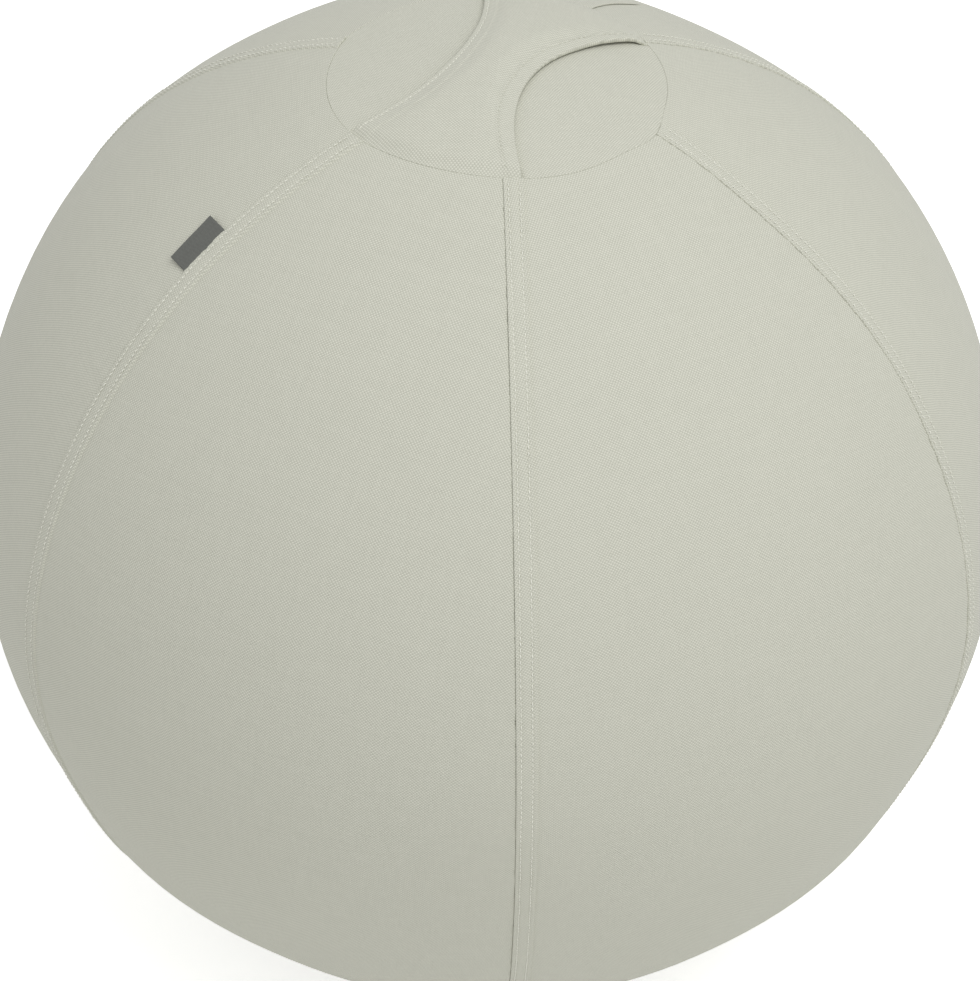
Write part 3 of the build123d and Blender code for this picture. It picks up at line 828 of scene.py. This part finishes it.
def handle_heights(x, y):
    """Heights of the handle's top and underside over the round that its underside follows."""
    hem = np.maximum(np.minimum(y - right_edge(x), left_edge(x) - y), 0)
    to_end = rim_radius(np.arctan2(y, x) + axis_turn) - SEWING_GAP - np.hypot(x, y)
    to_end = np.maximum(to_end, 0)
    sewn = 1 - smooth_step(0, END_DIP_LENGTH, to_end)
    half = (HANDLE_CLOTH + (END_CLOTH - HANDLE_CLOTH) * sewn) / 2
    back_top = FRONT_END_TOP + (BACK_END_TOP - FRONT_END_TOP) * smooth_step(2 * MM, 14 * MM, hem)
    end_middle = np.where(x < 0, FRONT_END_TOP, back_top) - END_CLOTH / 2
    middle = HANDLE_CLOTH / 2 + (end_middle - HANDLE_CLOTH / 2) * sewn
    curve = np.sqrt(np.maximum(half**2 - (half - np.minimum(hem, half)) ** 2, 0))
    loose = smooth_step(0, 12 * MM, to_end)
    r = np.hypot(x, y)
    room = HANDLE_CENTRE + np.sqrt(HANDLE_ROUND**2 - r * r) - TOP_CENTRE - np.sqrt(TOP_ROUND**2 - r * r)
    right_gap = RIGHT_GAP + (RAISED_GAP - RIGHT_GAP) * smooth_step(40 * MM, 60 * MM, x)
    drop = np.where(y < 0, np.maximum(room - right_gap, 0), np.minimum(HEM_DROP, 0.85 * room))
    sink = -drop * (1 - smooth_step(0, HEM_DROP_WIDTH, hem)) * loose
    fold_edge = right_hem_row(x) + HEM_FOLD
    fold = FOLD_RISE * (1 - smooth_step(fold_edge - 0.4 * MM, fold_edge + 0.4 * MM, hem))
    hole = 0.5 + 0.5 * np.cos(2 * math.pi * x / STITCH_PITCH)
    row = np.where(y < 0, right_hem_row(x), left_hem_row(x))
    groove = stitch_groove(hem - row) * (GROOVE_DEPTH + HOLE_DEPTH * hole) * np.where(y < 0, 1.6, 1)
    pulled = (fold - groove) * smooth_step(0, 4 * MM, to_end)
    top = middle + curve + sink + pulled + rolled_edge(to_end, RIM_ROUND) * curve / half
    return top, middle - curve + sink, to_end


def handle_points(x, y, height):
    """Points at a height over the handle's underside, whose round it follows."""
    z = HANDLE_CENTRE + np.sqrt(HANDLE_ROUND**2 - x * x - y * y) + height
    flat = x[..., None] * axis_x + y[..., None] * axis_y
    return np.concatenate([flat, z[..., None]], axis=-1)


hx, hy = handle_grid()
top_height, low_height, _ = handle_heights(hx, hy)
upper = handle_points(hx, hy, top_height)
lower = handle_points(hx, hy, low_height)
rows, columns = hx.shape
top_number = np.arange(rows * columns).reshape(rows, columns)
low_number = top_number + rows * columns
low_number[:, 0], low_number[:, -1] = top_number[:, 0], top_number[:, -1]
faces = grid_faces(top_number) + grid_faces(low_number, flip=True)
for row in (0, -1):
    faces += grid_faces(np.stack([top_number[row], low_number[row]]), flip=True)
used = sorted(set(v for face in faces for v in face))
renumber = {v: k for k, v in enumerate(used)}
faces = [list(dict.fromkeys(renumber[v] for v in face)) for face in faces]
handle_all = np.concatenate([upper.reshape(-1, 3), lower.reshape(-1, 3)])[used]
handle_weave = flat_weave(handle_all[:, 0], handle_all[:, 1], *HANDLE_WEAVE)
handle = add_mesh("cloth_handle", handle_all, faces, handle_weave)
dress(handle, "cover_cloth")

# One row of stitches along each hem
hem_threads = []
fine = np.linspace(-90, 90, 3601) * MM
for side, edge, inward, hem_row, yarn in (
    ("right", right_edge, 1, right_hem_row, hem_thread),
    ("left", left_edge, -1, left_hem_row, cover_thread),
):
    line_y = edge(fine) + inward * hem_row(fine)
    run = run_along(np.stack([fine, line_y], axis=1))
    starts = np.arange(0, run[-1] - STITCH_PITCH, STITCH_PITCH)
    ends = []
    for shift in (0.0, STITCH_LENGTH):
        at_x = np.interp(starts + shift, run, fine)
        at_y = edge(at_x) + inward * hem_row(at_x)
        height, _, to_end = handle_heights(at_x, at_y)
        ends.append((handle_points(at_x, at_y, height), to_end > 2.5 * MM))
    keep = ends[0][1] & ends[1][1]
    first, last = ends[0][0][keep], ends[1][0][keep]
    normals = unit(first - np.array([0, 0, HANDLE_CENTRE]))
    threads = stitches(f"cloth_handle_{side}_stitches", [(first, last, normals)], 0.8)
    hem_threads.append(dress(threads, "cover_cloth", yarn))

for piece in (handle, *hem_threads):
    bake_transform(piece)
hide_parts("handle_grip", "handle_front_end", "handle_back_end")

# The side tab, folded at its outer edge
tab_out = np.cross(TAB_DOWN, TAB_NORMAL)
turn_back = TAB_PLY / 2 + TAB_GAP / 2
straight = graded((0, TAB_WIDTH - 2 * turn_back, 0.6 * MM))
bend = np.linspace(-math.pi / 2, math.pi / 2, 9)[1:-1]
fold_line = np.concatenate([
    np.stack([straight, np.full_like(straight, -turn_back)], axis=1),
    np.stack([straight[-1] + turn_back * np.cos(bend), turn_back * np.sin(bend)], axis=1),
    np.stack([straight[::-1], np.full_like(straight, turn_back)], axis=1),
])
side_on = np.gradient(fold_line, axis=0)
side_on = unit(np.stack([side_on[:, 1], -side_on[:, 0]], axis=1))
outline = np.concatenate([
    fold_line + side_on * TAB_PLY / 2, (fold_line - side_on * TAB_PLY / 2)[::-1],
])
ply_run = run_along(fold_line)
outline_run = np.concatenate([ply_run, ply_run[::-1]])
down_places = graded((-TAB_LENGTH / 2, TAB_LENGTH / 2, 0.75 * MM))
down, number = np.meshgrid(down_places, np.arange(len(outline)), indexing="ij")
out, up_off = outline[number][..., 0], outline[number][..., 1]
# It follows the ball's round, and its outer edge and corners stand off a little
round_off = (down**2 + out**2) / (2 * CROWN)
off_seam = out / TAB_WIDTH
stand_off = TAB_CORNER * off_seam**2 * (2 * down / TAB_LENGTH) ** 2
stand_off = stand_off + TAB_STAND_OFF * np.maximum(off_seam, 0) ** 1.6
sway = TAB_SWAY * np.sin(down / (5.2 * MM) + 0.8) * off_seam
into_seam = TAB_SUNK * np.maximum(1 - out / (2.2 * MM), 0) ** 2
up_off = up_off - 2 * turn_back + stand_off + sway - round_off - into_seam
tab_points = TAB_HINGE + down[..., None] * TAB_DOWN + out[..., None] * tab_out
tab_points = tab_points + up_off[..., None] * TAB_NORMAL
number = np.arange(down.size).reshape(down.shape)
faces = grid_faces(number, around=True)
half_way = len(fold_line)
for row in (number[0], number[-1]):
    faces += grid_faces(np.stack([row[:half_way], row[half_way:][::-1]]), flip=True)
along_ply = np.broadcast_to(outline_run, down.shape)
tab_weave = np.stack([down, along_ply, np.full_like(down, 9.0)], axis=-1)
tab = add_mesh("ribbon_tab", tab_points, faces, tab_weave)
set_in(tab, "tab_weave", "side_tab", body="tab")


# The base panel, its tongue where the opening is sewn shut, and the ring zip
def base_height(r):
    """The outside of the ball's base: flat on the floor, then round, with a soft change between."""
    z = CENTRE.z - np.sqrt(BALL_RADIUS**2 - r * r)
    return 0.5 * (z + np.sqrt(z * z + (0.25 * MM) ** 2))


def ring_stitches(r, first, last, rise=0.0):
    """Stitches round the axis on the base, between two directions in degrees."""
    count = int(math.radians(last - first) * r / STITCH_PITCH)
    place = np.radians(first + (last - first) * (np.arange(count) + 0.5) / count)
    ends = []
    for shift in (-STITCH_LENGTH / 2 / r, STITCH_LENGTH / 2 / r):
        turn = place + shift
        z = np.full_like(turn, base_height(np.array(r)) + rise)
        ends.append(around_axis(r, turn, z))
    return *ends, unit(ends[0] - np.array(CENTRE))


tongue_first, tongue_last = ZIP_LAST - 360, ZIP_FIRST
degrees_round = np.arange(0, 360, 1.5)
degrees_round = degrees_round[(degrees_round != tongue_first) & (degrees_round != tongue_last)]
corners = [tongue_first - 0.1, tongue_first + 0.1, tongue_last - 0.1, tongue_last + 0.1]
degrees_round = np.sort(np.concatenate([degrees_round, corners]))
in_tongue = (degrees_round > tongue_first) & (degrees_round < tongue_last)
edge_here = np.where(in_tongue, TONGUE_EDGE, BASE_EDGE)
inside_rings = graded_mm((0.5, 94, 2.4), (94, 98, 0.5))
near_rings = graded_mm((0, 1.2, 0.2), (1.2, 4.4, 0.4))[::-1]
across_tongue = np.linspace(0, 1, 7)[1:-1, None]
outside_rings = inside_rings[-1] + across_tongue * (edge_here - near_rings[0] - inside_rings[-1])
ring = np.concatenate([
    np.broadcast_to(inside_rings[:, None], (len(inside_rings), len(edge_here))),
    outside_rings, edge_here - near_rings[:, None], edge_here[None],
])
turn = np.broadcast_to(np.radians(degrees_round), ring.shape)
to_edge = edge_here - ring
groove = stitch_groove(to_edge - BASE_ROW) + stitch_groove(ring - POCKET_ROW)
lifted = -rolled_edge(to_edge) + GROOVE_DEPTH * groove
lifted[-1] = EDGE_DEPTH
outer = around_axis(ring, turn, base_height(ring) + lifted)
row_picks, column_picks = every(len(ring), 3), np.arange(0, len(degrees_round), 2)
pick = np.ix_(row_picks, column_picks)
inner_ring = np.minimum(ring[pick], edge_here[column_picks] - TURNED_IN)
inner = around_axis(inner_ring, turn[pick], base_height(inner_ring) + inner_depth(to_edge[pick]))
base_piece = level_disc("cloth_base", outer, inner, row_picks, column_picks, BASE_WEAVE)
set_in(base_piece, "base_cloth", "base_panel")
base_threads = stitches("cloth_base_stitches", [
    ring_stitches(BASE_EDGE - BASE_ROW, ZIP_FIRST, ZIP_LAST, GROOVE_DEPTH),
    ring_stitches(TONGUE_EDGE - BASE_ROW, tongue_first + 1, tongue_last - 1, GROOVE_DEPTH),
    ring_stitches(POCKET_ROW, 0, 360, GROOVE_DEPTH),
])
set_in(base_threads, "base_cloth", material=base_thread)

ZIP_SLOPE = math.asin(ZIP_RADIUS / BALL_RADIUS)
ZIP_HEIGHT = CENTRE.z - math.sqrt(BALL_RADIUS**2 - ZIP_RADIUS**2)


def zip_points(turn, up_side, outward):
    """Points by the zip's line: the way round, up the ball's side and out of its cloth."""
    r = ZIP_RADIUS + up_side * math.cos(ZIP_SLOPE) + outward * math.sin(ZIP_SLOPE)
    z = ZIP_HEIGHT + up_side * math.sin(ZIP_SLOPE) - outward * math.cos(ZIP_SLOPE)
    return around_axis(r, turn, z)


def tape(name, node, side, reach, part):
    """One zip tape, with the cord along its edge that the teeth hold."""
    bead = np.linspace(math.pi, 0, 9)
    cord_round = TAPE_CLOTH / 2
    flat = graded((TAPE_NEAR + 2 * cord_round, reach, 1.1 * MM))
    cord = TAPE_NEAR + cord_round
    upper = [(cord + cord_round * math.cos(a), cord_round * math.sin(a)) for a in bead[:-1]]
    upper += [(s, TAPE_HALF) for s in flat]
    under = [(s, -w) for s, w in upper[::-1]]
    section = np.array(upper + under[:-1])
    turns = np.radians(graded((ZIP_FIRST, ZIP_LAST, 0.5)))
    turn, up_side = np.meshgrid(turns, section[:, 0], indexing="ij")
    outward = np.broadcast_to(section[:, 1] - ZIP_DEPTH, turn.shape)
    weave = np.stack([up_side, turn * ZIP_RADIUS, np.full_like(turn, part)], axis=-1)
    piece = add_mesh(name, zip_points(turn, side * up_side, outward), rod_faces(*turn.shape), weave)
    return set_in(piece, "zip_tape", node)


def teeth(name, node, side, first):
    """One row of zip teeth: each grips its tape's cord and its head reaches between the other row's."""
    stations = [(3.0 * MM, 0.7), (2.5 * MM, 1.0), (0.9 * MM, 0.92), (0.2 * MM, 1.0), (-0.45 * MM, 0.72)]
    half_w, half_h = TOOTH_WIDTH / 2, TOOTH_HEIGHT / 2
    near_w, near_h = half_w - TOOTH_BEVEL, half_h - TOOTH_BEVEL
    ring = [
        (near_w, -half_h), (half_w, -near_h), (half_w, near_h), (near_w, half_h),
        (-near_w, half_h), (-half_w, near_h), (-half_w, -near_h), (-near_w, -half_h),
    ]
    stop = ZIP_STOP / ZIP_RADIUS
    start, end = math.radians(ZIP_FIRST) + stop + first, math.radians(ZIP_LAST) - stop
    points, faces = [], []
    for place in np.arange(start, end, TOOTH_PITCH / ZIP_RADIUS):
        faces += rod_faces(len(stations), len(ring), len(points))
        for up_side, size in stations:
            for along, outward in ring:
                turn = place + along * size / ZIP_RADIUS
                points.append(zip_points(np.array(turn), side * up_side, outward * size - ZIP_DEPTH))
    return set_in(add_mesh(name, points, faces), "zip_plastic", node)


TAPE_REACH = (TONGUE_EDGE - ZIP_RADIUS) / math.cos(ZIP_SLOPE)
half_step = TOOTH_PITCH / 2 / ZIP_RADIUS
upper_tape = tape("zip_ribbon_upper", "zip_tape_upper", 1, TAPE_REACH, 11.0)
lower_tape = tape("zip_ribbon_lower", "zip_tape_lower", -1, TAPE_REACH - TAPE_GAP, 12.0)
upper_teeth = teeth("zip_chain_upper", "zip_teeth_upper", 1, half_step)
lower_teeth = teeth("zip_chain_lower", "zip_teeth_lower", -1, 2 * half_step)


# Inside: the bladder, flattened under the top panel and on the base, round its valve
def bladder_reach(way):
    """How far the bladder's outside is from the ball's centre in these directions."""
    polar = np.arccos(np.clip(way[..., 2], -1, 1))
    reach = BLADDER_RADIUS - BLADDER_TOP_DIP * (1 - smooth_step(20, 27, np.degrees(polar)))
    reach = reach - slack(np.arctan2(way[..., 1], way[..., 0]), polar) - BLADDER_ROOM
    seat = (CENTRE.z - BLADDER_SEAT) / np.maximum(-way[..., 2], 0.2)
    below = CENTRE.z - TOP_CENTRE
    top_round = TOP_ROUND - CLOTH - BLADDER_TOP_ROOM
    up = below * way[..., 2]
    under_top = np.sqrt(top_round**2 - below**2 + up**2) - up
    return np.minimum(np.minimum(reach, seat), under_top)


valve_polar, valve_turn = math.radians(VALVE_POLAR), math.radians(VALVE_DIRECTION)
valve_axis = around_axis(math.sin(valve_polar), valve_turn, -math.cos(valve_polar))
valve_x = unit(np.cross(valve_axis, [0, 0, 1]))
valve_y = np.cross(valve_axis, valve_x)
off_valve = np.linspace(math.asin(VALVE_HOLE / BLADDER_RADIUS), math.pi - 0.002, 150)
off, turn = np.meshgrid(off_valve, np.linspace(0, 2 * math.pi, 193)[:-1], indexing="ij")
way = (
    np.cos(off)[..., None] * valve_axis
    + (np.sin(off) * np.cos(turn))[..., None] * valve_x
    + (np.sin(off) * np.sin(turn))[..., None] * valve_y
)
reach = bladder_reach(way)
outer = np.array(CENTRE) + way * reach[..., None]
row_picks, column_picks = every(len(off_valve), 2), np.arange(0, 192, 2)
pick = np.ix_(row_picks, column_picks)
inner = np.array(CENTRE) + way[pick] * (reach[pick] - BLADDER_WALL)[..., None]
bladder = shell("vinyl_bladder", outer, inner, row_picks, column_picks, outer, inner, around=True)
set_in(bladder, "bladder_vinyl", "bladder")

# The lining over the pouch
turn_list = np.linspace(0, 2 * math.pi, 181)[:-1]
radii = np.concatenate([[0.5 * MM], graded((4 * MM, LINING_RIM, 2.5 * MM))])
ring, turn = np.meshgrid(radii, turn_list, indexing="ij")
slope = smooth_step(LINING_SHOULDER - 2 * MM, LINING_RIM, ring)
gathered = smooth_step(84 * MM, 92 * MM, ring)
gathers = GATHER_RISE * (np.sin(GATHERS * turn) * gathered + 1) * gathered
lining_z = LINING_TOP + (LINING_RIM_TOP - LINING_TOP) * slope
lining_z = lining_z + gathers * (1 - smooth_step(95 * MM, 99 * MM, ring))
outer = around_axis(ring, turn, lining_z)
inner = outer - np.array([0, 0, LINING_CLOTH])
lining = level_disc(
    "cloth_lining", outer, inner, np.arange(len(radii)), np.arange(len(turn_list)), LINING_WEAVE
)
set_in(lining, "base_cloth", "pocket_lining")


# The pouch and its fill
def puck(name, inset, lumps, part, rings=44, spokes=120):
    """A flat round bag: level above and below, with a full side; lumps is the height of its unevenness."""
    low, high = POUCH_LOW + inset, POUCH_HIGH - inset
    middle, half = (low + high) / 2, (high - low) / 2
    reach = POUCH_FLAT + POUCH_BULGE - inset
    angle = np.linspace(0.004, math.pi - 0.004, rings)
    angle, turn = np.meshgrid(angle, np.linspace(0, 2 * math.pi, spokes + 1)[:-1], indexing="ij")
    r = reach * np.sin(angle) ** 0.42
    z = middle + half * np.sign(np.cos(angle)) * np.abs(np.cos(angle)) ** 0.55
    wave = np.sin(3 * turn + r / (9 * MM)) * np.sin(r / (14 * MM))
    wave = wave + 0.6 * np.sin(17 * turn) * (r / reach) ** 4
    z = z - lumps * (0.5 + 0.5 * wave / 1.6) * np.sign(np.cos(angle)) * np.abs(np.cos(angle))
    points = around_axis(r, turn, z)
    weave = flat_weave(points[..., 0], points[..., 1] + np.sign(z - middle), 90.0, part)
    return add_mesh(name, points, rod_faces(*turn.shape), weave)


def puff(piece, most):
    """Swells a closed bag with Blender's cloth under air pressure, each point by no more than most."""
    stage = bpy.context.scene
    rest = np.array([v.co[:] for v in piece.data.vertices])
    air = piece.modifiers.new("air", "CLOTH")
    air.settings.quality = 5
    air.settings.use_pressure = True
    air.settings.uniform_pressure_force = 4.0
    air.settings.effector_weights.gravity = 0.0
    for step in range(1, 21):
        stage.frame_set(step)
    swollen = piece.evaluated_get(bpy.context.evaluated_depsgraph_get())
    move = np.array([v.co[:] for v in swollen.data.vertices]) - rest
    length = np.maximum(np.linalg.norm(move, axis=1), 1e-9)
    piece.modifiers.remove(air)
    rest = rest + move * np.minimum(1, most / length)[:, None]
    piece.data.vertices.foreach_set("co", rest.ravel())
    piece.data.update()
    stage.frame_set(1)


fill = puck("sand_fill", 1.9 * MM, 0.8 * MM, 15.0)
set_in(fill, "sand", "weight_fill")
pouch = puck("cloth_pouch", 0.9 * MM, 0.5 * MM, 14.0)
puff(pouch, 0.7 * MM)
set_in(pouch, "base_cloth", "weight_pouch")


# The stage: a pale floor, soft light and the camera
def seen_ray(tree):
    """1 for a ray that the camera, a reflection or something clear sends, and 0 for the light itself."""
    path = tree.nodes.new("ShaderNodeLightPath")
    seen = path.outputs["Is Camera Ray"]
    for name in ("Is Glossy Ray", "Is Transmission Ray"):
        either = tree.nodes.new("ShaderNodeMath")
        either.operation = "MAXIMUM"
        tree.links.new(seen, either.inputs[0])
        tree.links.new(path.outputs[name], either.inputs[1])
        seen = either.outputs[0]
    return seen


scene = bpy.context.scene
FLOOR_HALF = 6.0
floor_corners = [(x * FLOOR_HALF, y * FLOOR_HALF, 0) for x, y in ((-1, -1), (1, -1), (1, 1), (-1, 1))]
floor_mesh = bpy.data.meshes.new("floor")
floor_mesh.from_pydata(floor_corners, [], [(0, 1, 2, 3)])
floor = bpy.data.objects.new("floor", floor_mesh)
scene.collection.objects.link(floor)
floor.location.z = -0.0005
paper = Shader("floor_paper")
paper.coat(Base_Color=(0.92, 0.92, 0.91, 1), Roughness=1.0, Specular_IOR_Level=0.0)
glow = paper.add("Emission", Color=(0.58, 0.58, 0.58, 1), Strength=seen_ray(paper.tree))
both = paper.add("AddShader", paper.surface.outputs[0], glow.outputs[0])
paper.put(paper.tree.nodes["Material Output"].inputs["Surface"], both.outputs[0])
floor_mesh.materials.append(paper.material)

world = bpy.data.worlds.new("studio")
world.use_nodes = True
scene.world = world
sky = world.node_tree.nodes["Background"]
sky.inputs["Color"].default_value = (1.0, 1.0, 1.0, 1)
level = world.node_tree.nodes.new("ShaderNodeMix")
level.inputs[2].default_value = 0.624
level.inputs[3].default_value = 1.0
world.node_tree.links.new(seen_ray(world.node_tree), level.inputs[0])
world.node_tree.links.new(level.outputs[0], sky.inputs["Strength"])

lamp = bpy.data.lights.new("soft_box", "AREA")
lamp.shape = "DISK"
lamp.size = 2.4
lamp.energy = 41.0
lamp_piece = bpy.data.objects.new("soft_box", lamp)
scene.collection.objects.link(lamp_piece)
LAMP_DISTANCE = 3.2
toward = Vector((0.25, -0.37, 0.89)).normalized()
lamp_piece.location = CENTRE + toward * LAMP_DISTANCE
lamp_piece.rotation_euler = toward.to_track_quat("Z", "Y").to_euler()

CAMERA_AZIMUTH = math.radians(-2.82)
CAMERA_ELEVATION = math.radians(39.54)
CAMERA_ROLL = math.radians(1.1)
CAMERA_DISTANCE = 2.398
FOCAL_PIXELS = 3763.0
PICTURE = (980, 981)
BALL_MIDDLE = (489.1, 488.4)
back = Vector((
    math.sin(CAMERA_AZIMUTH) * math.cos(CAMERA_ELEVATION),
    -math.cos(CAMERA_AZIMUTH) * math.cos(CAMERA_ELEVATION),
    math.sin(CAMERA_ELEVATION),
))
right = Vector((math.cos(CAMERA_AZIMUTH), math.sin(CAMERA_AZIMUTH), 0))
up = back.cross(right)
right, up = (
    right * math.cos(CAMERA_ROLL) + up * math.sin(CAMERA_ROLL),
    up * math.cos(CAMERA_ROLL) - right * math.sin(CAMERA_ROLL),
)
eye = bpy.data.cameras.new("camera")
eye.sensor_width = 36.0
eye.lens = FOCAL_PIXELS / max(PICTURE) * eye.sensor_width
eye.shift_x = (PICTURE[0] / 2 - BALL_MIDDLE[0]) / max(PICTURE)
eye.shift_y = (BALL_MIDDLE[1] - PICTURE[1] / 2) / max(PICTURE)
eye.clip_end = 50
camera = bpy.data.objects.new("camera", eye)
scene.collection.objects.link(camera)
camera.matrix_world = Matrix((right, up, back)).transposed().to_4x4()
camera.location = CENTRE + back * CAMERA_DISTANCE
scene.camera = camera
scene.view_settings.view_transform = "Standard"
